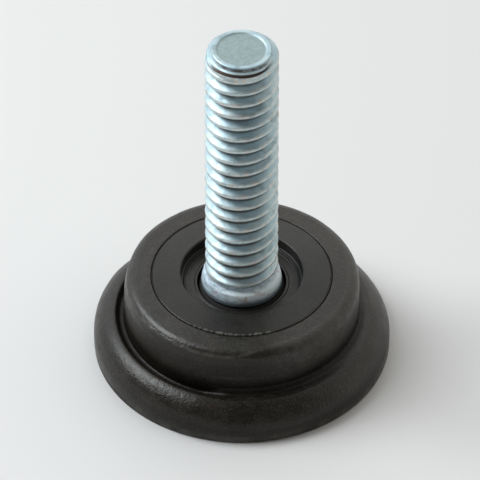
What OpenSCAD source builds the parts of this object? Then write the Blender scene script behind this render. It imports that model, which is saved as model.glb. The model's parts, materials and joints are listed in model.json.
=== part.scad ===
// Swivel leveling foot for furniture: a threaded stud whose ball end turns and leans
// in a nylon socket core, inside a stepped black rubber foot.
// Millimetres, +Z up, origin on the floor at the centre of the foot.

/* [Rubber foot] */
// Diameter of the flange that stands on the floor
foot_d = 25.4; // [25:0.1:28]
// Height of the upright land at the flange's rim
rim_h = 1.2; // [1:0.1:1.4]
// Radius that rolls the flange over from its rim to its top
flange_r = 2.3; // [2:0.1:2.3]
// Diameter of the hub that stands on the flange
hub_d = 20.1; // [19.4:0.1:20.5]
// Height of the hub's top ring above the floor
hub_h = 7.75; // [7.6:0.05:7.8]
// Radius of the hub's rounded shoulder
shoulder_r = 1; // [0.6:0.1:1.4]
// Radius of the round groove where the hub meets the flange
groove_r = 0.5; // [0.4:0.05:0.5]
// Thickness of rubber under the backing plate
sole_t = 1.3; // [1:0.1:1.3]

/* [Socket core] */
// Diameter of the core where its seam shows in the hub's top
core_d = 15.3; // [14.8:0.1:16]
// Diameter of the core's foot flange, which the rubber is moulded around
core_flange_d = 18; // [17:0.1:18.4]
// Thickness of the core's foot flange
core_flange_t = 1.1; // [0.8:0.1:1.4]
// Height of the recess lip, the highest point of the base
lip_h = 8; // [7.9:0.05:8.3]
// Diameter of the recess around the stud at its lip
recess_d = 10.4; // [10:0.1:11]
// Depth of the recess below its lip
recess_depth = 1.15; // [0.9:0.05:1.2]
// Diameter of the hole that the stud's neck leans in
hole_d = 7.55; // [7.5:0.05:7.6]
// Width of the raised ring around the hole
hole_ring_w = 0.22; // [0.15:0.01:0.3]
// Width of the small step at the foot of the recess wall
recess_step_w = 0.34; // [0.2:0.01:0.4]

/* [Ball joint] */
// Diameter of the ball on the stud
ball_d = 8.2; // [8.1:0.05:8.3]
// Height of the ball's centre, which both joint axes pass through
ball_z = 4.6; // [4.5:0.05:4.7]
// Radial running clearance between ball and seats
ball_gap = 0.05; // [0.03:0.01:0.08]
// Height of the flat under the ball
ball_flat_z = 2.7; // [2.65:0.05:2.9]
// Thickness of the steel plate that closes the core
plate_t = 0.8; // [0.6:0.1:0.8]
// Diameter of the backing plate
plate_d = 17.6; // [16:0.1:18]
// Outer diameter of the thrust ring under the ball
ring_d = 10.8; // [10.4:0.1:11.2]
// Height of the thrust ring
ring_h = 1.6; // [1.4:0.1:1.6]

/* [Threaded stud] */
// Height of the stud's end above the floor
stud_top = 33; // [30:0.5:60]
// Major diameter of the thread, a 1/4 inch coarse thread after plating
thread_d = 6.2; // [6.12:0.01:6.32]
// Pitch of the thread, 20 turns to the inch
pitch = 1.27; // [1.27:0.01:1.28]
// Diameter of the domed neck where it is widest, just above the hole
neck_d = 6.9; // [6.8:0.05:6.9]
// Height at which the neck is widest
neck_z = 7.15; // [7.1:0.05:7.2]
// Height of the top of the neck, where the thread begins
neck_top = 8.9; // [8.8:0.05:9.1]
// Diameter of the shallow cup in the stud's end
cup_d = 4.1; // [3.6:0.1:4.4]

/* [Hidden] */
$fn = 96;
eps = 0.02;

foot_r = foot_d / 2;
hub_r = hub_d / 2;
core_r = core_d / 2;
flange_top = rim_h + flange_r;
flange_roll_x = foot_r - flange_r;
groove_x = hub_r + groove_r;
groove_z = flange_top;
hub_arc_x = hub_r - shoulder_r;
hub_arc_z = hub_h - shoulder_r;

plate_top = sole_t + plate_t;
core_base_z = plate_top;
core_flange_top = core_base_z + core_flange_t;
recess_z = lip_h - recess_depth;
hole_r = hole_d / 2;
lip_r = recess_d / 2;
lip_round = 0.3;
core_edge_h = hub_h + 0.03;

ball_r = ball_d / 2;
seat_r = ball_r + ball_gap;
ring_r = ring_d / 2;
ring_bore_r = ring_r + 0.06;
ring_z = plate_top + eps;
ring_pocket_top = plate_top + ring_h + 0.08;

crest_r = thread_d / 2;
crest_flat = pitch / 8;
root_flat = pitch / 4;
thread_depth = (pitch - crest_flat - root_flat) / 2 / tan(30);
root_r = crest_r - thread_depth;
first_crest_z = neck_top + 0.55;
turns = floor((stud_top - first_crest_z) / pitch) + 1;
end_chamfer = 0.62;
cup_depth = 0.12;
neck_r = neck_d / 2;
neck_top_r = crest_r - 0.05;
neck_low_r = neck_r - 0.1;
neck_rise = neck_top - neck_z;
dome_angle = 2 * atan((neck_r - neck_top_r) / neck_rise);
dome_r = neck_rise / sin(dome_angle);
dome_steps = 12;

// Outline of the whole base, half of its section: flange, hub, shoulder and groove
module foot_outline() {
    difference() {
        union() {
            square([foot_r, rim_h]);
            square([flange_roll_x, flange_top]);
            translate([flange_roll_x, rim_h]) circle(flange_r);
            square([hub_r, hub_arc_z]);
            square([hub_arc_x, hub_h]);
            translate([hub_arc_x, hub_arc_z]) circle(shoulder_r);
        }
        translate([groove_x, groove_z]) circle(groove_r);
        translate([0, -foot_r]) square([foot_r + 1, foot_r]);
    }
}

// Section of the cavity that the rubber is moulded around: plate, core flange and core
module cavity_outline() {
    translate([0, sole_t]) square([plate_d / 2, plate_t]);
    translate([0, core_base_z]) square([core_flange_d / 2, core_flange_t]);
    translate([0, core_base_z]) square([core_r, hub_h]);
}

// Rubber moulding: floor flange, root groove, hub and rounded shoulder
module rubber_foot() {
    color([0.09, 0.085, 0.08]) rotate_extrude() {
        difference() {
            foot_outline();
            cavity_outline();
        }
    }
}

// Section of the core's solid body before the socket is cut: foot flange, barrel, crowned top
module core_outline() {
    square([core_flange_d / 2, core_flange_top]);
    polygon([
        [0, 0],
        [core_r, 0],
        [core_r, core_edge_h],
        [lip_r + lip_round, lip_h],
        [0, lip_h]
    ]);
}

// Section of the recess around the stud, with a small step at the foot of its wall
module recess_outline() {
    translate([0, recess_z]) square([lip_r - recess_step_w, recess_depth + 1]);
    translate([0, recess_z + 0.2]) square([lip_r, recess_depth + 1]);
}

// Nylon core: crowned disc, recess, raised hole ring and the upper half of the ball's seat
module socket_core() {
    color([0.11, 0.11, 0.11]) difference() {
        rotate_extrude() {
            difference() {
                core_outline();
                square([core_flange_d, core_base_z]);
                recess_outline();
            }
            translate([hole_r, recess_z - eps]) square([hole_ring_w, 0.07 + eps]);
        }
        cylinder(r = hole_r, h = lip_h + 1);
        translate([0, 0, ball_z]) sphere(seat_r);
        cylinder(r = ring_bore_r, h = ring_pocket_top);
    }
}

// Steel disc moulded in above the sole: it closes the core and spreads the load
module backing_plate() {
    color([0.62, 0.63, 0.65])
        translate([0, 0, sole_t]) cylinder(d = plate_d, h = plate_t);
}

// Loose ring with a spherical seat, which carries the ball and turns with it
module thrust_ring() {
    color([0.78, 0.76, 0.7]) difference() {
        translate([0, 0, ring_z]) cylinder(r = ring_r, h = ring_h);
        translate([0, 0, ball_z]) sphere(seat_r);
    }
}

// Section of the thread: one flat crest with two 30 degree flanks for each turn
module thread_outline() {
    flank = thread_depth * tan(30);
    crests = [
        for (i = [0 : turns - 1])
            let (z = first_crest_z + i * pitch)
            each [
                [root_r, z - crest_flat / 2 - flank],
                [crest_r, z - crest_flat / 2],
                [crest_r, z + crest_flat / 2],
                [root_r, z + crest_flat / 2 + flank]
            ]
    ];
    polygon(concat([[0, neck_top - 1], [root_r, neck_top - 1]], crests, [[root_r, stud_top], [0, stud_top]]));
}

// Section that trims the thread's last turn to a chamfered, cupped end
module end_outline() {
    polygon([
        [0, 0],
        [crest_r + 1, 0],
        [crest_r + 1, stud_top - end_chamfer - 1],
        [crest_r - end_chamfer, stud_top],
        [cup_d / 2, stud_top],
        [cup_d / 2, stud_top - cup_depth],
        [0, stud_top - cup_depth]
    ]);
}

// Section of the neck: a dome that swells from the foot of the thread to the ball
module neck_outline() {
    dome = [
        for (i = [0 : dome_steps])
            let (angle = dome_angle * i / dome_steps)
            [neck_r - dome_r * (1 - cos(angle)), neck_z + dome_r * sin(angle)]
    ];
    polygon(concat([[0, ball_z], [neck_low_r, ball_z], [neck_low_r, neck_z - 0.2]], dome, [[0, neck_top]]));
}

// One-piece steel stud: cold-headed ball, swelling neck and rolled thread
module threaded_stud() {
    color([0.72, 0.78, 0.8]) {
        difference() {
            translate([0, 0, ball_z]) sphere(ball_r);
            cylinder(r = ball_d, h = ball_flat_z);
        }
        rotate_extrude() {
            neck_outline();
            intersection() {
                thread_outline();
                end_outline();
            }
        }
    }
}

rubber_foot();
socket_core();
backing_plate();
thrust_ring();
threaded_stud();
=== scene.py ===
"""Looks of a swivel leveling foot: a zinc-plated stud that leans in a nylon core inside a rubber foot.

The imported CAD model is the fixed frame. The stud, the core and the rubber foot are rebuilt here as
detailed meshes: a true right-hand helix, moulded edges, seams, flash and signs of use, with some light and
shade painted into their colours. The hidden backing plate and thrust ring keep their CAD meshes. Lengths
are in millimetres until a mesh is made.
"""

import json
import math

import bmesh
import bpy
import numpy as np
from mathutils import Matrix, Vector, noise


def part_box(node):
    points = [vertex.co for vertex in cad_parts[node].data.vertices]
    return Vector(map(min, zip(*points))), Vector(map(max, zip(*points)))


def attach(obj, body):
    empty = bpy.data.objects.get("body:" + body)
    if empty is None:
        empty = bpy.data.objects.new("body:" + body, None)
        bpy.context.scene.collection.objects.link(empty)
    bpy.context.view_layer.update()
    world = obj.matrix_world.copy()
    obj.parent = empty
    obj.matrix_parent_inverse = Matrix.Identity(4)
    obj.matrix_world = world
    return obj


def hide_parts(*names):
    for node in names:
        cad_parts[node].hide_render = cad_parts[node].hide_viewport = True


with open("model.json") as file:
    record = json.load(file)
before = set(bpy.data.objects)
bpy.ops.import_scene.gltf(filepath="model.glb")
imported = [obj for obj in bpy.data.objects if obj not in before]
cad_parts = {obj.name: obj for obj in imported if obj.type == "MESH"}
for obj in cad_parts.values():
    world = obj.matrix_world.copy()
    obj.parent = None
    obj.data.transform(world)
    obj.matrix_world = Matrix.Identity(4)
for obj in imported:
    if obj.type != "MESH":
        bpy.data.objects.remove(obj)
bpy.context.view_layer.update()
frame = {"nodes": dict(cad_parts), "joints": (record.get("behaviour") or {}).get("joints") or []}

MM = 0.001
TURN = 2 * math.pi

# ---------------------------------------------------------------- sizes from the frame
foot_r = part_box("rubber_foot")[1].x / MM
hub_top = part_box("rubber_foot")[1].z / MM
core_flange_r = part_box("socket_core")[1].x / MM
core_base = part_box("socket_core")[0].z / MM
lip_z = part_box("socket_core")[1].z / MM
plate_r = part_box("backing_plate")[1].x / MM
plate_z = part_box("backing_plate")[0].z / MM
pocket_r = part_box("thrust_ring")[1].x / MM + 0.06
pocket_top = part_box("thrust_ring")[1].z / MM + 0.06
ball_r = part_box("threaded_stud")[1].x / MM
ball_flat_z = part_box("threaded_stud")[0].z / MM
stud_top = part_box("threaded_stud")[1].z / MM
ball_z = frame["joints"][0]["pos_m"][2] / MM

# ---------------------------------------------------------------- sizes of the visible details
# Rubber foot: the crease is the scuffed line round the shoulder, and the soft one is its place
# where the shoulder is evenly round
rim_h = 1.23
flange_roll_r = 2.3
groove_w = 1.0
groove_z = 2.98
hub_r = 10.05
wall_foot_z = 3.82
shoulder_r = 1.0
crease_r = 9.78
crease_z = 7.12
soft_crease_r = 9.3
soft_crease_z = 7.64
moulding_gap = 0.01

# Nylon core, with its recess and the hole that the stud leans in
core_r = 7.65
core_flange_top = core_base + 1.1
lip_r = 5.2
step_r = 4.86
ledge_z = lip_z - 1.15
hole_r = 3.775
seat_r = ball_r + 0.05

# Threaded stud: front_crest_z is the height of one of its crests at the very front
pitch = 1.27
crest_r = 3.1
crest_flat = 0.3
thread_depth = 0.68
root_r = crest_r - thread_depth
neck_r = 3.45
neck_z = 7.1
neck_top = 8.9
neck_top_r = 3.03
end_r = 2.47
dish_r = 2.0
dish_depth = 0.1
front_crest_z = 12.85

# The floor lies just under the sole
floor_z = -0.02


# ---------------------------------------------------------------- outlines
def rounded(corners, step):
    """Half-section points through (r, z, fillet) corners, each corner rounded, at most step apart."""
    points = []
    for k, (r, z, fillet) in enumerate(corners):
        here = np.array([r, z], float)
        if fillet == 0 or k in (0, len(corners) - 1):
            points.append(here)
            continue
        back = np.array(corners[k - 1][:2]) - here
        ahead = np.array(corners[k + 1][:2]) - here
        back = back / np.linalg.norm(back)
        ahead = ahead / np.linalg.norm(ahead)
        half = math.acos(np.clip(back @ ahead, -1, 1)) / 2
        middle = here + (back + ahead) / np.linalg.norm(back + ahead) * fillet / math.sin(half)
        first = here + back * fillet / math.tan(half) - middle
        last = here + ahead * fillet / math.tan(half) - middle
        start = math.atan2(first[1], first[0])
        sweep = math.atan2(first[0] * last[1] - first[1] * last[0], first @ last)
        for t in np.linspace(0, 1, max(2, math.ceil(abs(sweep) * fillet / step)) + 1):
            angle = start + sweep * t
            points.append(middle + fillet * np.array([math.cos(angle), math.sin(angle)]))
    return divided(points, step)


def divided(points, step):
    """The same line with its long stretches divided so that no two points are over step apart."""
    out = [points[0]]
    for a, b in zip(points, points[1:]):
        parts = max(1, math.ceil(np.linalg.norm(np.subtract(b, a)) / step))
        out += [np.add(a, np.subtract(b, a) * k / parts) for k in range(1, parts + 1)]
    return out


def resampled(points, count):
    """The same line with a fixed number of points, evenly spaced along it."""
    points = np.array(points)
    along = np.concatenate([[0], np.cumsum(np.linalg.norm(np.diff(points, axis=0), axis=1))])
    steps = np.linspace(0, along[-1], count)
    r = np.interp(steps, along, points[:, 0])
    z = np.interp(steps, along, points[:, 1])
    return [np.array(point) for point in zip(r, z)]


def roll(middle, radius, start, end, count, power=2.0):
    """Points on an arc round middle, from angle start to end in degrees. A power under 2 flattens it."""
    points = []
    for angle in np.radians(np.linspace(start, end, count)):
        c, s = math.cos(angle), math.sin(angle)
        r = middle[0] + radius * math.copysign(abs(c) ** (2 / power), c)
        z = middle[1] + radius * math.copysign(abs(s) ** (2 / power), s)
        points.append(np.array([r, z]))
    return points


# ---------------------------------------------------------------- mesh helpers
def smooth_step(x, low, high):
    """0 below low, 1 above high, and smooth between."""
    t = np.clip((np.asarray(x, float) - low) / (high - low), 0, 1)
    return t * t * (3 - 2 * t)


def bump(x, middle, width):
    """A smooth bell of height 1 and the given half width."""
    return np.exp(-(((np.asarray(x, float) - middle) / width) ** 2))


def field(points, size, octaves, seed):
    """Fractal noise, about -1 to 1, at points in mm, with features about size mm across."""
    shift = Vector((seed * 17.3, seed * 5.1, seed * 9.7))
    flat = points.reshape(-1, 3) / size
    values = [noise.fractal(Vector(p) + shift, 1.0, 2.0, octaves) for p in flat.tolist()]
    return np.array(values).reshape(points.shape[:-1])


def place(r, z, angle):
    """Points in mm at radius r, height z and angle round the axis: 0 at the front, 90 at +X."""
    return np.stack([r * np.sin(angle), -r * np.cos(angle), z + 0 * angle], axis=-1)


def make_mesh(name, points, faces, layers=None):
    """A smooth-shaded mesh object from points in mm; layers are named per-vertex numbers."""
    mesh = bpy.data.meshes.new(name)
    mesh.from_pydata((points * MM).tolist(), [], faces)
    for layer, values in (layers or {}).items():
        data = mesh.attributes.new(layer, "FLOAT", "POINT")
        data.data.foreach_set("value", np.asarray(values, np.float32))
    work = bmesh.new()
    work.from_mesh(mesh)
    bmesh.ops.remove_doubles(work, verts=work.verts, dist=1e-4 * MM)
    bmesh.ops.recalc_face_normals(work, faces=work.faces)
    work.to_mesh(mesh)
    work.free()
    mesh.shade_smooth()
    piece = bpy.data.objects.new(name, mesh)
    bpy.context.scene.collection.objects.link(piece)
    return piece


def lathe(name, outline, columns, swell, wear_and_painted_light=None, closed=False, other=None, share=None):
    """Turns an outline about Z. swell gives each point's shift along the outline's normal, in mm.
    other is a second outline that takes over where share, a function of height and angle, is 1."""
    outline = np.array(outline)
    rows = len(outline)
    angle = np.arange(columns) * TURN / columns
    r, theta = np.meshgrid(outline[:, 0], angle, indexing="ij")
    z = np.repeat(outline[:, 1:], columns, axis=1)
    if other is not None:
        step = np.array(other) - outline
        moved = share(z, theta)
        r = r + step[:, :1] * moved
        z = z + step[:, 1:] * moved
    wide = np.vstack([outline[-1:], outline, outline[:1]] if closed else
                     [outline[:1], outline, outline[-1:]])
    along = wide[2:] - wide[:-2]
    along = along / np.maximum(np.linalg.norm(along, axis=1, keepdims=True), 1e-9)
    side = -1 if shoelace(outline) > 0 else 1
    normal = np.stack([-along[:, 1], along[:, 0]], axis=1) * side
    shift = swell(r, z, theta) * (r > 0.05)
    r = r + shift * normal[:, :1]
    z = z + shift * normal[:, 1:]
    points = place(r, z, theta).reshape(-1, 3)
    layers = {"wear_and_painted_light": (wear_and_painted_light(r, z, theta) if wear_and_painted_light else 0 * r).reshape(-1)}
    faces = []
    for i in range(rows if closed else rows - 1):
        below, above = i * columns, (i + 1) % rows * columns
        for j in range(columns):
            k = (j + 1) % columns
            quad = [below + j, below + k, above + k, above + j]
            if outline[i, 0] < 1e-6:
                quad = quad[1:]
            if outline[(i + 1) % rows, 0] < 1e-6:
                quad = quad[:3]
            faces.append(quad)
    return make_mesh(name, points, faces, layers)


def shoelace(outline):
    """Twice the signed area that the outline encloses."""
    r, z = outline[:, 0], outline[:, 1]
    return float(np.sum(r * np.roll(z, -1) - z * np.roll(r, -1)))


# ---------------------------------------------------------------- pieces
def foot_outline(creased):
    """Half-section of the rubber: sole, rim, flange, root groove, hub, shoulder, seam and cavity.
    creased gives it an open groove and a scuffed edge in place of soft rounds."""
    seam_edge = (core_r + 0.45, hub_top - 0.01)
    seam_foot = (core_r + moulding_gap, core_flange_top + moulding_gap)
    sole = rounded([(0, 0, 0), (foot_r, 0, 0.2), (foot_r, rim_h, 0)], 0.35)
    middle = (foot_r - flange_roll_r, rim_h)
    if creased:
        edge = hub_r + groove_w
        edge_angle = math.degrees(math.acos((edge - middle[0]) / flange_roll_r))
        flange = roll(middle, flange_roll_r, 0, edge_angle, 34)
        groove = rounded([
            (*flange[-1], 0),
            (edge - 0.24, flange[-1][1] + 0.05, 0.26),
            (edge - 0.58, groove_z, 0.25),
            (hub_r, groove_z + 0.06, 0.2),
            (hub_r, wall_foot_z, 0),
        ], 0.02)
        shoulder = rounded([
            (hub_r, wall_foot_z, 0),
            (hub_r - 0.06, crease_z - 0.75, 0.8),
            (crease_r, crease_z, 0.16),
            (hub_r - 0.62, hub_top - 0.25, 0.9),
            (*seam_edge, 0),
        ], 0.05)
    else:
        flange = roll(middle, flange_roll_r, 0, 68, 34, 1.6)
        groove = rounded([
            (*flange[-1], 0),
            (hub_r + 0.02, flange[-1][1] + 0.12, 0.6),
            (hub_r, wall_foot_z, 0),
        ], 0.02)
        round_middle = (hub_r - shoulder_r, hub_top - 0.06 - shoulder_r)
        shoulder = [np.array([hub_r, wall_foot_z])]
        shoulder += roll(round_middle, shoulder_r, 2, 87, 30)
        shoulder += [np.array(seam_edge)]
    top = rounded([
        (*seam_edge, 0),
        (core_r + 0.1, hub_top, 0.06),
        (core_r + 0.03, hub_top - 0.3, 0.05),
        (*seam_foot, 0),
    ], 0.07)
    cavity = divided([
        seam_foot,
        (core_flange_r + moulding_gap, core_flange_top + moulding_gap),
        (core_flange_r + moulding_gap, core_base - moulding_gap),
        (plate_r + moulding_gap, core_base - moulding_gap),
        (plate_r + moulding_gap, plate_z - moulding_gap),
        (0, plate_z - moulding_gap),
    ], 1.5)
    hub = resampled(groove, 48)[1:] + resampled(shoulder, 66)[1:]
    return sole[:-1] + resampled(flange, 38) + hub + top[1:] + cavity[1:]


def turned(theta):
    """The angle in degrees from -180 to 180: 0 at the front, positive to the right."""
    return (np.degrees(theta) + 180) % 360 - 180


def stretch(theta, low, high, edge):
    """1 between two angles in degrees, fading over edge degrees each way."""
    a = turned(theta)
    return smooth_step(a, low - edge, low + edge) * (1 - smooth_step(a, high - edge, high + edge))


def creased_share(z, theta):
    """1 where the creased outline rules: at the shoulder from left to front, and at the groove,
    which is open there, from left to front left."""
    return np.where(z > 5, stretch(theta, -112, 4, 15), stretch(theta, -125, -13, 8))


def rubber_foot():
    """The moulded rubber foot, with a scuffed line round its shoulder, a rubbed pale rim foot with painted
    floor reflection, and pale wall sides that are dust and painted light.
    """
    def crease(r, z, theta):
        """1 on the scuffed line round the shoulder, strongest at the left front."""
        share = creased_share(z, theta)
        across = np.hypot(r - soft_crease_r - (crease_r - soft_crease_r) * share,
                          z - soft_crease_z - (crease_z - soft_crease_z) * share)
        return stretch(theta, -112, 6, 14) * np.exp(-(across / 0.12) ** 2)

    def swell(r, z, theta):
        """Uneven moulding, pits, the scuffed ridge, a flange drawn in at the front left, and flakes."""
        outside = (z > 0.15) & ((r > core_r + 0.02) | (z > hub_top - 0.2))
        p = place(r, z, theta)
        wave = 0.02 * field(p, 6.0, 2, 1)
        pits = 0.008 * field(p, 0.9, 3, 2) + 0.004 * field(p, 0.25, 2, 3)
        ridge = 0.025 * crease(r, z, theta) * (1 + field(p, 0.4, 2, 4))
        flat = -0.12 * bump(turned(theta), -55, 30) * smooth_step(r, hub_r + 0.9, foot_r)
        scales = stretch(theta, -48, -16, 10) * bump(r, 11.5, 0.6) * (z > 2.4) * 0.02 * field(p, 0.45, 2, 7)
        return np.where(outside, wave + pits + ridge + flat + scales, 0)

    def wear_and_painted_light(r, z, theta):
        """Where the rubber is pale: the scuffed line, the rim's foot, which is partly painted floor
        reflection, and the wall's sides, which are partly painted light.
        """
        p = place(r, z, theta)
        scuff = crease(r, z, theta) * (0.5 + 0.5 * field(p, 0.5, 2, 5))
        # Painted reflection: the rim's foot is paled where it would mirror the floor, with a mottle of
        # rubbed rubber.
        rim = bump(z, 0.3, 0.4) * (r > foot_r - 0.5) * (0.6 + 0.5 * field(p, 1.2, 3, 6))
        # Painted light: the wall's left and right sides are paled where they face the bright surroundings,
        # mixed with a mottle of dust.
        dust_and_side_light = (stretch(theta, 16, 110, 10) + 0.7 * stretch(theta, -120, -62, 10)) * (r > 9)
        dust_and_side_light = dust_and_side_light * bump(z, 6.3, 1.6) * (0.3 + 0.25 * field(p, 0.5, 3, 8))
        return np.clip(np.maximum(scuff, np.maximum(rim, dust_and_side_light)), 0, 1)

    piece = lathe("rubber_foot_moulding", foot_outline(False), 640, swell, wear_and_painted_light,
                  other=foot_outline(True), share=creased_share)
    piece.data.materials.append(rubber_material())
    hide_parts("rubber_foot")
    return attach(piece, "foot")


def core_outline():
    """Half-section of the nylon core: crowned top, recess, hole ring, ball seat and foot flange."""
    low = math.degrees(math.asin((pocket_top - ball_z) / seat_r))
    high = math.degrees(math.acos(hole_r / seat_r))
    seat = roll((0, ball_z), seat_r, low, high, 16)
    upper = rounded([
        (hole_r, seat[-1][1] + 0.02, 0),
        (hole_r, ledge_z + 0.07, 0.04),
        (hole_r + 0.23, ledge_z + 0.07, 0.05),
        (hole_r + 0.27, ledge_z, 0.04),
        (step_r - 0.05, ledge_z, 0.04),
        (step_r, ledge_z + 0.24, 0.05),
        (step_r + 0.12, ledge_z + 0.17, 0.04),
        (lip_r - 0.02, ledge_z + 0.17, 0.06),
        (lip_r, lip_z, 0.14),
        (core_r, hub_top + 0.03, 0.08),
        (core_r, hub_top - 0.5, 0),
    ], 0.07)
    lower = divided([
        (core_r, hub_top - 0.5),
        (core_r, core_flange_top),
        (core_flange_r, core_flange_top),
        (core_flange_r, core_base),
        (pocket_r, core_base),
        (pocket_r, pocket_top),
        tuple(seat[0]),
    ], 0.8)
    return upper + lower[1:] + seat[1:]


def socket_core():
    """The black nylon core with its stepped recess."""
    def swell(r, z, theta):
        """A faint unevenness on the faces that show."""
        shown = (z > ledge_z - 0.1) & (r > hole_r + 0.02)
        p = place(r, z, theta)
        return np.where(shown, 0.006 * field(p, 2.5, 2, 11) + 0.004 * field(p, 0.35, 2, 12), 0)

    piece = lathe("socket_core_moulding", core_outline(), 512, swell, closed=True)
    piece.data.materials.append(nylon_material())
    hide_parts("socket_core")
    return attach(piece, "foot")


def seam_flash():
    """Torn rubber flash along the seam between the foot and its core, strongest at the front."""
    columns = 1500
    theta = np.arange(columns) * TURN / columns
    front = stretch(theta, -33, 21, 7)
    left = stretch(theta, -162, -48, 12)
    ring = place(0 * theta + core_r, 0 * theta, theta)
    ragged = field(ring, 0.28, 3, 21)
    teeth = np.clip(0.45 + 1.1 * ragged, 0, 1) ** 1.3
    height = 0.02 + 0.13 * front * teeth + 0.025 * left * np.clip(0.5 + ragged, 0, 1)
    width = 0.03 + 0.06 * front * teeth
    base = hub_top - 0.08
    rows = [
        (core_r + 0.02 + 0 * theta, base + 0 * theta),
        (core_r - 0.3 * width, base + 0.11 + 0.5 * height),
        (core_r - 0.5 * width, base + 0.12 + height),
        (core_r + 0.3 * width, base + 0.11 + height * 0.9),
        (core_r + width + 0.01, base + 0.05 + 0.3 * height),
        (core_r + width + 0.03, base + 0 * theta),
    ]
    points = np.concatenate([place(r, z, theta) for r, z in rows])
    faces = []
    for i in range(len(rows)):
        low, high = i * columns, (i + 1) % len(rows) * columns
        for j in range(columns):
            k = (j + 1) % columns
            faces.append([low + j, low + k, high + k, high + j])
    white = np.concatenate([front * teeth * share for share in (0.2, 1.2, 1.9, 1.9, 0.5, 0)])
    piece = make_mesh("seam_flash", points, faces, {"wear_and_painted_light": white})
    piece.data.materials.append(rubber_material())
    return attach(piece, "foot")


def softened(x, soft):
    """max(x, 0) with its corner rounded."""
    return soft * np.log1p(np.exp(np.clip(x / soft, -50, 50)))


def thread_drop(u):
    """How far the thread lies below its crest, u mm from a crest's middle: a rolled 60 degree
    thread with broad rounded crests and narrow roots."""
    away = np.abs((u + pitch / 2) % pitch - pitch / 2)
    drop = softened((away - crest_flat / 2) / math.tan(math.radians(30)), 0.07)
    return thread_depth - softened(thread_depth - drop, 0.04)


def neck_radius(z):
    """The neck swells from the foot of the thread to a dome, which turns in again at the hole."""
    t = np.clip((z - neck_z) / (neck_top - neck_z), 0, 1)
    return neck_r - (neck_r - neck_top_r) * t ** 1.5 - 0.12 * smooth_step(neck_z - z, 0, 0.25)


def end_radius(z):
    """The stud's end: a steep face, a small ridge, then a shelf down to the first crest. Below that
    it allows the widest radius, which limits nothing."""
    below = [0.7, 0.56, 0.48, 0.34, 0.29, 0.26, 0.21, 0.0]
    radii = [crest_r, 3.07, 2.98, 2.74, 2.69, 2.67, 2.6, end_r]
    return np.where(z < stud_top - below[0], neck_r, np.interp(z, [stud_top - b for b in below], radii))


def stud_radius(z, theta, u):
    """The stud's radius where the helix is u mm from a crest's middle."""
    run_in = smooth_step(z, neck_top - 0.8, neck_top - 0.3)
    run_out = 1 - smooth_step(z, stud_top - 1.05, stud_top - 0.75) * stretch(theta, -90, 45, 35)
    thread_body = crest_r - (crest_r - neck_top_r) * smooth_step(neck_top + 0.3 - z, 0, 0.3)
    body = np.where(z < neck_top, neck_radius(z), thread_body)
    r = np.minimum(body - run_in * run_out * thread_drop(u), end_radius(z))
    crest = np.clip((r - crest_r + 0.1) / 0.1, 0, 1) * (z > neck_top)
    p = place(r, z, theta + 0 * z)
    return r + crest * 0.014 * field(p, 0.28, 2, 31) + 0.004 * field(p, 1.5, 2, 32)


def threaded_stud():
    """The plated stud: cupped end, right-hand helix from rows that climb with it, neck and ball."""
    columns = 160
    per_turn = 24
    rise = pitch / per_turn
    low, high = neck_z - 0.1, stud_top - 0.03
    count = math.ceil((high - low + pitch) / rise) + 2
    theta = (np.arange(columns) * TURN / columns)[None, :]
    climb = (np.arange(count) * rise)[:, None]
    free_z = low - pitch + climb + pitch * theta / TURN
    z = np.clip(free_z, low, high)
    r = stud_radius(z, theta, climb + low - pitch - front_crest_z)
    points = [place(r, z, theta + 0 * z).reshape(-1, 3)]
    faces = []
    for i in range(count - 1):
        for j in range(columns - 1):
            a = i * columns + j
            faces.append([a, a + 1, a + columns + 1, a + columns])
    for i in range(count - 1 - per_turn):
        a, b = (i + 1) * columns - 1, (i + per_turn) * columns
        faces.append([a, b, b + columns, a + columns])

    flat_r = math.sqrt(ball_r ** 2 - (ball_z - ball_flat_z) ** 2)
    start = -math.degrees(math.asin((ball_z - ball_flat_z) / ball_r))
    stop = math.degrees(math.acos((neck_r - 0.1) / ball_r))
    below = [(0, ball_flat_z), (flat_r * 0.5, ball_flat_z)]
    below += [tuple(p) for p in roll((0, ball_z), ball_r, start, stop, 28)]
    above = rounded([
        (end_r + 0.02, high, 0),
        (end_r - 0.05, stud_top, 0.04),
        (dish_r + 0.14, stud_top, 0.12),
        (dish_r - 0.02, stud_top - dish_depth, 0.1),
        (0, stud_top - dish_depth * 0.8, 0),
    ], 0.07)[1:]
    total = count * columns
    for rings in (below + [(None, low)], [(None, high)] + above):
        for r0, z0 in rings:
            radius = stud_radius(z0 + 0 * theta, theta, 0 * theta) if r0 is None else r0 + 0 * theta
            points.append(place(radius, z0 + 0 * theta, theta).reshape(-1, 3))
        for i in range(len(rings) - 1):
            for j in range(columns):
                a, b = total + i * columns + j, total + i * columns + (j + 1) % columns
                faces.append([a, b, b + columns, a + columns])
        total += len(rings) * columns
    piece = make_mesh("stud_with_helix_thread", np.concatenate(points), faces)
    piece.data.materials.append(zinc_material())
    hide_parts("threaded_stud")
    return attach(piece, "stud")


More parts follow.
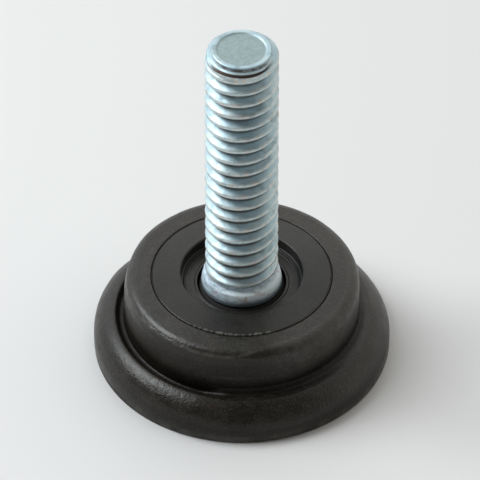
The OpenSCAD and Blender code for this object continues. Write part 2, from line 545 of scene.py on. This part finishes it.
# ---------------------------------------------------------------- materials
class Graph:
    """Shader nodes built one by one; numbers go to sockets, and sockets are linked."""

    def __init__(self, tree, output):
        self.tree = tree
        self.place = self.add("ShaderNodeTexCoord").outputs[output]

    def add(self, kind, inputs=None, **settings):
        made = self.tree.nodes.new(kind)
        for key, value in settings.items():
            setattr(made, key, value)
        for key, value in (inputs or {}).items():
            self.feed(made.inputs[key], value)
        return made

    def feed(self, socket, value):
        if isinstance(value, bpy.types.NodeSocket):
            self.tree.links.new(value, socket)
        else:
            socket.default_value = value

    def noise(self, size, detail, stretch=None):
        """Noise from 0 to 1 with features about size mm across."""
        where = self.place
        if stretch:
            where = self.add("ShaderNodeMapping", {"Vector": where, "Scale": stretch}).outputs[0]
        inputs = {"Vector": where, "Scale": 1 / (size * MM), "Detail": detail, "Roughness": 0.55}
        return self.add("ShaderNodeTexNoise", inputs).outputs["Fac"]

    def ramp(self, value, low, high, start=0.0, end=1.0):
        """value mapped from low..high to start..end, smooth and held at the ends."""
        inputs = {0: value, 1: low, 2: high, 3: start, 4: end}
        return self.add("ShaderNodeMapRange", inputs, interpolation_type="SMOOTHSTEP").outputs[0]

    def math(self, operation, a, b):
        return self.add("ShaderNodeMath", {0: a, 1: b}, operation=operation).outputs[0]

    def blend(self, share, first, second):
        """A colour between two colours."""
        node = self.add("ShaderNodeMix", data_type="RGBA")
        self.feed(node.inputs[0], share)
        for socket, colour in ((node.inputs[6], first), (node.inputs[7], second)):
            self.feed(socket, colour if isinstance(colour, bpy.types.NodeSocket) else (*colour, 1))
        return node.outputs[2]

    def split(self):
        """The x, y and z of the place."""
        return self.add("ShaderNodeSeparateXYZ", {0: self.place}).outputs

    def radius(self):
        """The distance from the Z axis."""
        level = {0: self.place, 1: (1, 1, 0)}
        flat = self.add("ShaderNodeVectorMath", level, operation="MULTIPLY").outputs[0]
        return self.add("ShaderNodeVectorMath", {0: flat}, operation="LENGTH").outputs["Value"]

    def facing_up(self):
        """How far the surface faces up: 1 when level, 0 when upright."""
        normal = self.add("ShaderNodeNewGeometry").outputs["Normal"]
        return self.add("ShaderNodeSeparateXYZ", {0: normal}).outputs[2]

    def relief(self, height, depth, strength):
        """A bump normal of the given depth in mm."""
        inputs = {"Height": height, "Distance": depth * MM, "Strength": strength}
        return self.add("ShaderNodeBump", inputs).outputs[0]


class Shader(Graph):
    """A procedural material."""

    def __init__(self, name, **settings):
        self.material = bpy.data.materials.new(name)
        self.material.use_nodes = True
        super().__init__(self.material.node_tree, "Object")
        self.surface = self.tree.nodes["Principled BSDF"]
        for socket, value in settings.items():
            self.surface.inputs[socket.replace("_", " ")].default_value = value

    def finish(self, **sockets):
        for key, value in sockets.items():
            self.feed(self.surface.inputs[key.replace("_", " ")], value)
        return self.material


def rubber_material():
    """Black moulded rubber: mottled brownish film, reddish specks, fine dust and pale scuffs; its pale
    layer also holds painted floor reflection on the rim and painted light on the wall's sides. Round the
    foot of the hub's wall it has painted shade: a darker colour and a duller sheen."""
    s = Shader("black_rubber", IOR=1.42)
    up = s.facing_up()
    film = s.ramp(s.noise(2.2, 4), 0.35, 0.7)
    colour = s.blend(film, (0.0075, 0.0055, 0.0032), (0.0155, 0.013, 0.0092))
    dust = s.math("MULTIPLY", s.ramp(s.noise(0.15, 2), 0.5, 0.75), s.ramp(up, 0.0, 0.8, 0.3, 0.5))
    colour = s.blend(dust, colour, (0.075, 0.067, 0.054))
    specks = s.ramp(s.noise(0.4, 2), 0.66, 0.74)
    colour = s.blend(s.math("MULTIPLY", specks, 0.5), colour, (0.055, 0.022, 0.014))
    # This pale layer holds real scuffs and flash, plus painted floor reflection on the rim and painted
    # light on the wall's sides.
    paler = s.add("ShaderNodeAttribute", attribute_name="wear_and_painted_light").outputs["Fac"]
    colour = s.blend(s.math("MULTIPLY", paler, 0.45), colour, (0.17, 0.165, 0.15))
    rough = s.ramp(s.noise(1.1, 4), 0.3, 0.75, 0.3, 0.42)
    height = s.split()[2]
    radius = s.radius()
    sheen = s.math("ADD", s.ramp(up, 0.0, 0.55, 0.28, 0.55), s.ramp(height, 5.2 * MM, 7 * MM, 0.0, 0.08))
    # Painted shade: a darker colour and a lower sheen round the foot of the hub's wall, by the groove,
    # where shade falls.
    painted_wall_foot_shade = s.math("MULTIPLY", s.ramp(height, 5.2 * MM, 3.9 * MM),
                       s.ramp(radius, (hub_r + 0.8) * MM, (hub_r + 0.2) * MM))
    painted_wall_foot_shade = s.math("MULTIPLY", painted_wall_foot_shade, 0.6)
    colour = s.blend(painted_wall_foot_shade, colour, (0.003, 0.0025, 0.002))
    sheen = s.ramp(painted_wall_foot_shade, 0.0, 1.0, sheen, 0.05)
    grain = s.relief(s.noise(0.2, 3), 0.05, s.ramp(up, 0.7, 0.98, 0.8, 0.4))
    return s.finish(Base_Color=colour, Roughness=rough, Specular_IOR_Level=sheen, Normal=grain)


def nylon_material():
    """Black moulded nylon: an even satin with a faint mottle and a fine grain."""
    s = Shader("black_nylon", IOR=1.45)
    film = s.ramp(s.noise(1.4, 4), 0.3, 0.75)
    colour = s.blend(film, (0.008, 0.0072, 0.0052), (0.014, 0.013, 0.0102))
    dust = s.ramp(s.noise(0.15, 2), 0.56, 0.76)
    colour = s.blend(s.math("MULTIPLY", dust, 0.4), colour, (0.05, 0.048, 0.042))
    rough = s.ramp(s.noise(0.8, 4), 0.3, 0.75, 0.33, 0.44)
    grain = s.relief(s.noise(0.16, 3), 0.018, 0.45)
    return s.finish(Base_Color=colour, Roughness=rough, Normal=grain)


def zinc_material():
    """Blue-white zinc plate: bright thread with dark brown roots that are partly painted shade, a matte
    end, a painted shadow in the first groove at the front, and a frosted, stained neck with a painted
    highlight stripe, a painted dark reflection at its foot and painted shade on the ball below.
    """
    s = Shader("blue_zinc_plate")
    across, depth, height = s.split()
    radius = s.radius()
    tint = s.ramp(s.noise(1.6, 3), 0.35, 0.68)
    colour = s.blend(tint, (0.43, 0.57, 0.63), (0.53, 0.655, 0.69))
    smudge = s.ramp(s.noise(0.9, 3, stretch=(0.6, 0.6, 1.6)), 0.5, 0.68)
    colour = s.blend(s.math("MULTIPLY", smudge, 0.5), colour, (0.19, 0.26, 0.285))
    crest = s.math("MULTIPLY", s.ramp(radius, (crest_r - 0.17) * MM, (crest_r - 0.06) * MM),
                   s.ramp(s.noise(0.4, 3), 0.3, 0.65, 0.25, 0.85))
    paler = s.blend(s.ramp(s.noise(0.7, 3), 0.5, 0.66), (0.70, 0.77, 0.76), (0.74, 0.64, 0.56))
    colour = s.blend(crest, colour, paler)
    neck = s.ramp(height, (neck_top - 0.1) * MM, (neck_top - 0.4) * MM)
    painted_reflection_skirt = s.ramp(height, (neck_z + 0.5) * MM, (neck_z + 0.15) * MM)
    streaks = s.noise(0.16, 4, stretch=(0.3, 0.3, 1.4))
    frost = s.blend(s.ramp(streaks, 0.35, 0.7), (0.36, 0.465, 0.54), (0.72, 0.84, 0.93))
    # Painted highlight: a near-white stripe on the neck's dome, on its right half, where light catches it.
    painted_highlight_band = s.math("MULTIPLY", s.ramp(height, (neck_z + 0.4) * MM, (neck_z + 0.7) * MM),
                  s.ramp(height, (neck_z + 1.5) * MM, (neck_z + 1.0) * MM))
    side = s.ramp(across, -2.6 * MM, 0.4 * MM, 0.0, 1.0)
    frost = s.blend(s.math("MULTIPLY", painted_highlight_band, side), frost, (0.85, 0.97, 1.0))
    frost = s.blend(s.math("MULTIPLY", s.ramp(s.noise(0.7, 3), 0.57, 0.68), 0.5), frost, (0.5, 0.29, 0.26))
    # Painted reflection: the neck's foot is darkened to teal where it would mirror the black rubber round
    # it.
    frost = s.blend(s.math("MULTIPLY", painted_reflection_skirt, 0.85), frost, (0.09, 0.125, 0.14))
    colour = s.blend(neck, colour, frost)
    # Painted shade: the ball below the neck is made near black, as it lies in shade in the gap under the
    # hole.
    painted_gap_shade = s.ramp(height, (neck_z + 0.02) * MM, (neck_z - 0.08) * MM)
    colour = s.blend(painted_gap_shade, colour, (0.02, 0.02, 0.018))
    # Thread roots darkened brown: partly painted shade in the narrow roots, partly grime.
    root = s.ramp(radius, (root_r + 0.25) * MM, (root_r + 0.08) * MM)
    root = s.math("MULTIPLY", root, s.ramp(height, 10 * MM, stud_top * MM, 0.9, 0.55))
    root = s.math("MULTIPLY", root, s.ramp(height, (stud_top - 0.6) * MM, (stud_top - 0.8) * MM))
    colour = s.blend(root, colour, (0.11, 0.07, 0.055))
    above = s.math("MULTIPLY", s.ramp(height, (stud_top - 0.3) * MM, (stud_top - 0.26) * MM),
                   s.ramp(height, (stud_top - 0.06) * MM, (stud_top - 0.12) * MM))
    # Painted shadow: below marks a dark stripe in the first groove under the end, at the front.
    below = s.math("MULTIPLY", s.ramp(height, (stud_top - 0.6) * MM, (stud_top - 0.54) * MM),
                   s.ramp(height, (stud_top - 0.38) * MM, (stud_top - 0.42) * MM))
    front = s.ramp(depth, -0.6 * MM, -2.3 * MM)
    mottle = s.ramp(s.noise(0.4, 3), 0.3, 0.6, 0.45, 0.9)
    above = s.math("MULTIPLY", above, s.math("MULTIPLY", front, mottle))
    colour = s.blend(above, colour, (0.085, 0.07, 0.062))
    colour = s.blend(s.math("MULTIPLY", below, front), colour, (0.05, 0.036, 0.032))
    end = s.math("MULTIPLY", s.ramp(height, (stud_top - 0.4) * MM, (stud_top - 0.2) * MM),
                 s.ramp(radius, (dish_r + 0.28) * MM, (dish_r - 0.12) * MM))
    dull = s.blend(s.ramp(s.noise(0.3, 3), 0.35, 0.7), (0.285, 0.365, 0.385), (0.34, 0.425, 0.43))
    colour = s.blend(end, colour, dull)
    rough = s.ramp(s.noise(0.5, 4), 0.3, 0.75, 0.46, 0.6)
    rough = s.math("MAXIMUM", rough, s.math("MULTIPLY", end, 0.45))
    rough = s.math("MAXIMUM", rough, s.math("MULTIPLY", neck, 0.75))
    metal = s.ramp(neck, 0.0, 1.0, 0.75, 0.1)
    lines = s.relief(s.noise(0.25, 3, stretch=(0.25, 0.25, 1.6)), 0.01, 0.25)
    return s.finish(Base_Color=colour, Roughness=rough, Metallic=metal, Normal=lines)


def steel_material():
    """Plain pressed steel with a rolled grain."""
    s = Shader("pressed_steel", Metallic=1.0)
    colour = s.blend(s.noise(1.5, 4), (0.42, 0.43, 0.44), (0.6, 0.61, 0.62))
    rough = s.ramp(s.noise(0.6, 4), 0.3, 0.75, 0.28, 0.45)
    grain = s.relief(s.noise(0.3, 3, stretch=(0.1, 1, 1)), 0.01, 0.3)
    return s.finish(Base_Color=colour, Roughness=rough, Normal=grain)


# ---------------------------------------------------------------- stage
def floor():
    """A plain pale floor just under the sole."""
    half = 3000
    corners = np.array([(x * half, y * half, floor_z) for x, y in ((-1, -1), (1, -1), (1, 1), (-1, 1))])
    piece = make_mesh("floor", corners, [[0, 1, 2, 3]])
    s = Shader("pale_floor", Roughness=0.7)
    tone = s.blend(s.noise(60, 2), (0.74, 0.74, 0.74), (0.76, 0.76, 0.76))
    piece.data.materials.append(s.finish(Base_Color=tone))


def surroundings():
    """Soft light, brightest behind, bluish at the far left and warmer and dimmer at the right. It is
    dark in front of the object, above a pale low glow."""
    world = bpy.data.worlds.new("studio")
    world.use_nodes = True
    g = Graph(world.node_tree, "Generated")
    x, y, z = g.split()
    left = g.blend(g.ramp(x, -0.75, 0.0), (0.86, 0.95, 1.0), (1.28, 1.29, 1.27))
    back = g.blend(g.ramp(x, -0.05, 0.75), left, (0.92, 0.89, 0.84))
    front = g.blend(g.ramp(z, 0.22, 0.03), (0.11, 0.11, 0.105), (0.8, 0.8, 0.78))
    right = g.math("MULTIPLY", g.math("MAXIMUM", x, 0.0), 0.9)
    colour = g.blend(g.ramp(g.math("ADD", y, right), -0.1, 0.83), front, back)
    g.feed(g.tree.nodes["Background"].inputs["Color"], colour)
    bpy.context.scene.world = world


def area_light(name, place_mm, size, power, colour):
    """A soft square light aimed at the middle of the object; size in mm, power in watts."""
    data = bpy.data.lights.new(name, "AREA")
    data.shape = "SQUARE"
    data.size = size * MM
    data.energy = power
    data.color = colour
    lamp = bpy.data.objects.new(name, data)
    lamp.location = Vector(place_mm) * MM
    aim = Vector((0, 0, 10 * MM)) - lamp.location
    lamp.rotation_euler = aim.to_track_quat("-Z", "Y").to_euler()
    bpy.context.scene.collection.objects.link(lamp)


def camera():
    """A long lens looking down at the front of the foot. Its places are in metres."""
    data = bpy.data.cameras.new("camera")
    data.sensor_width = 36
    data.lens = 450
    data.clip_start = 0.01
    view = bpy.data.objects.new("camera", data)
    elevation = math.radians(43.5)
    distance = 0.516
    view.location = (0, -distance * math.cos(elevation), distance * math.sin(elevation))
    target = Vector((-0.00014, 0, 0.01166))
    view.rotation_euler = (target - view.location).to_track_quat("-Z", "Y").to_euler()
    bpy.context.scene.collection.objects.link(view)
    bpy.context.scene.camera = view


def show_cad(node, material):
    """A carried-over CAD node with its own procedural material."""
    slots = frame["nodes"][node].data.materials
    slots.clear()
    slots.append(material)


camera()
surroundings()
area_light("key_left", (-262, 56, 306), 230, 1.4, (0.95, 0.98, 1.0))
floor()

show_cad("backing_plate", steel_material())
show_cad("thrust_ring", steel_material())
rubber_foot()
socket_core()
seam_flash()
threaded_stud()

scene = bpy.context.scene
scene.view_settings.view_transform = "Standard"
scene.view_settings.look = "None"
